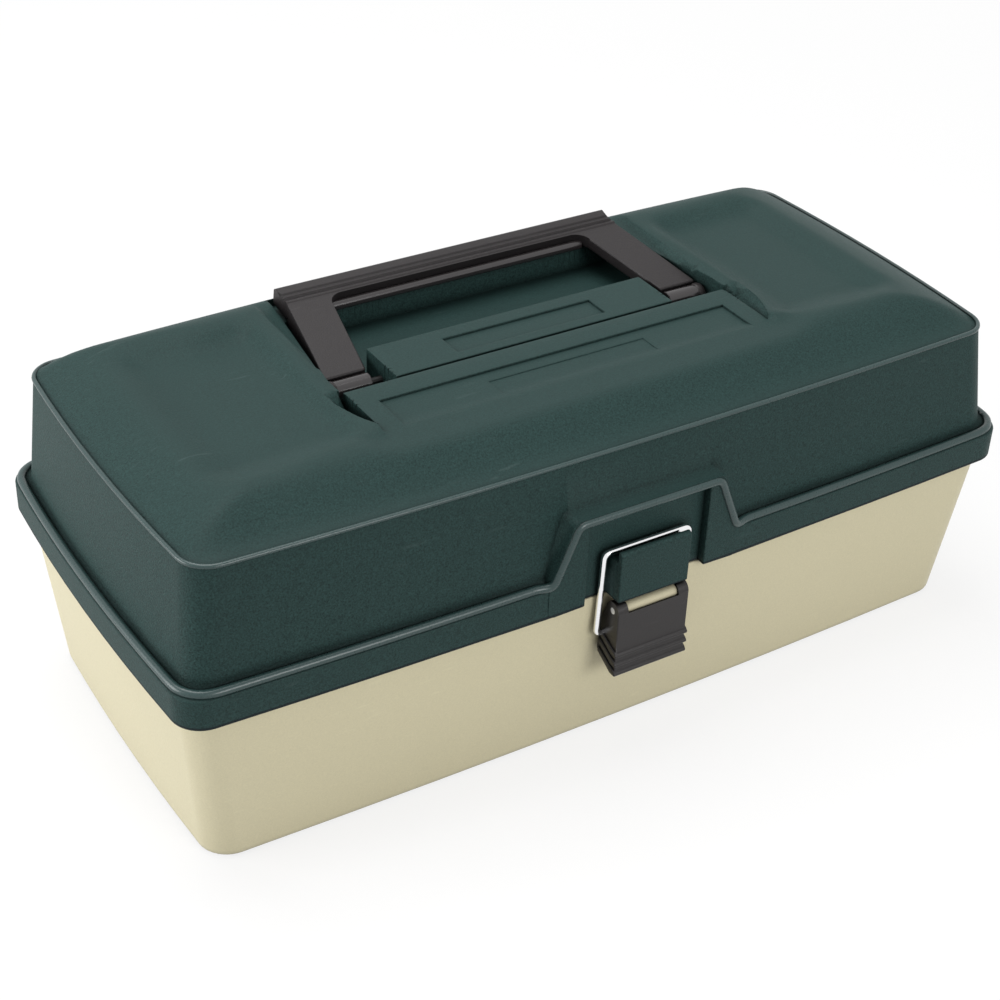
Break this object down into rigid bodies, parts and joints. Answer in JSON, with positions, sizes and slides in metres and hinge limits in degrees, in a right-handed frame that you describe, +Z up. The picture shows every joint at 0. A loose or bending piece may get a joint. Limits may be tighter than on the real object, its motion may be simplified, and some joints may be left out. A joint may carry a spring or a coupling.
{
  "type": "tackle box",
  "caption": "Moulded box with a domed lid, folding carry handle, over-centre wire latch and two compartment trays that swing up and back on parallel arms as the lid opens",
  "frame": {"origin": "middle of the base's underside", "axes": "+X along the length, -Y the latch side, +Y the hinge side, +Z up"},
  "size_m": [0.346, 0.1719, 0.1339],
  "materials": {
    "base_plastic": "cream moulded plastic, slightly satin",
    "lid_plastic": "dark grey-green moulded plastic with a fine pebbled grain",
    "handle_plastic": "charcoal moulded plastic",
    "latch_plastic": "charcoal moulded plastic",
    "bail_wire": "bright plated wire",
    "pin_steel": "plain steel",
    "tray_plastic": "cream moulded plastic",
    "divider_plastic": "cream moulded plastic",
    "arm_metal": "flat stamped strip",
    "rivet_metal": "semi-tubular rivets"
  },
  "bodies": {
    "base": {"base_tub": "base_plastic", "latch_lever_pin": "pin_steel", "hinge_pin_left": "pin_steel", "hinge_pin_right": "pin_steel", "base_arm_rivets": "rivet_metal"},
    "lid": {"lid_shell": "lid_plastic", "handle_pin_left": "pin_steel", "handle_pin_right": "pin_steel", "lid_tray_pins": "rivet_metal"},
    "handle": {"handle": "handle_plastic"},
    "latch_lever": {"latch_lever": "latch_plastic"},
    "latch_bail": {"latch_bail": "bail_wire"},
    "front_arms": {"front_arm_left": "arm_metal", "front_arm_right": "arm_metal"},
    "rear_arms": {"rear_arm_left": "arm_metal", "rear_arm_right": "arm_metal"},
    "lower_tray": {"lower_tray": "tray_plastic", "lower_tray_dividers": "divider_plastic", "lower_tray_rivets": "rivet_metal"},
    "upper_tray": {"upper_tray": "tray_plastic", "upper_tray_dividers": "divider_plastic", "upper_tray_rivets": "rivet_metal"}
  },
  "joints": [
    {"name": "lid_hinge", "type": "hinge", "parent": "base", "child": "lid", "pos_m": [0, 0.082, 0.075], "axis": [-1, 0, 0], "range_deg": [0, 100]},
    {"name": "handle_hinge", "type": "hinge", "parent": "lid", "child": "handle", "pos_m": [0, 0.0035, 0.121], "axis": [1, 0, 0], "range_deg": [0, 90]},
    {"name": "latch_lever_hinge", "type": "hinge", "parent": "base", "child": "latch_lever", "pos_m": [0, -0.082, 0.0616], "axis": [-1, 0, 0], "range_deg": [0, 100]},
    {"name": "latch_bail_hinge", "type": "hinge", "parent": "latch_lever", "child": "latch_bail", "pos_m": [0, -0.0773, 0.0498], "axis": [-1, 0, 0], "range_deg": [-72, 0]},
    {"name": "front_arms_hinge", "type": "hinge", "parent": "base", "child": "front_arms", "pos_m": [0, 0.022, 0.06725], "axis": [-1, 0, 0], "range_deg": [0, 100]},
    {"name": "rear_arms_hinge", "type": "hinge", "parent": "base", "child": "rear_arms", "pos_m": [0, 0.05, 0.06725], "axis": [-1, 0, 0], "range_deg": [0, 100]},
    {"name": "lower_tray_hinge", "type": "hinge", "parent": "front_arms", "child": "lower_tray", "pos_m": [0, -0.0184, 0.067], "axis": [-1, 0, 0], "range_deg": [-100, 0]},
    {"name": "upper_tray_hinge", "type": "hinge", "parent": "front_arms", "child": "upper_tray", "pos_m": [0, -0.05801, 0.0785], "axis": [-1, 0, 0], "range_deg": [-100, 0]}
  ],
  "couplings": [
    {"joint": "front_arms_hinge", "follows": "lid_hinge", "ratio": 1},
    {"joint": "rear_arms_hinge", "follows": "lid_hinge", "ratio": 1},
    {"joint": "lower_tray_hinge", "follows": "lid_hinge", "ratio": -1},
    {"joint": "upper_tray_hinge", "follows": "lid_hinge", "ratio": -1},
    {"joint": "latch_bail_hinge", "follows": "latch_lever_hinge", "ratio": -0.72}
  ]
}
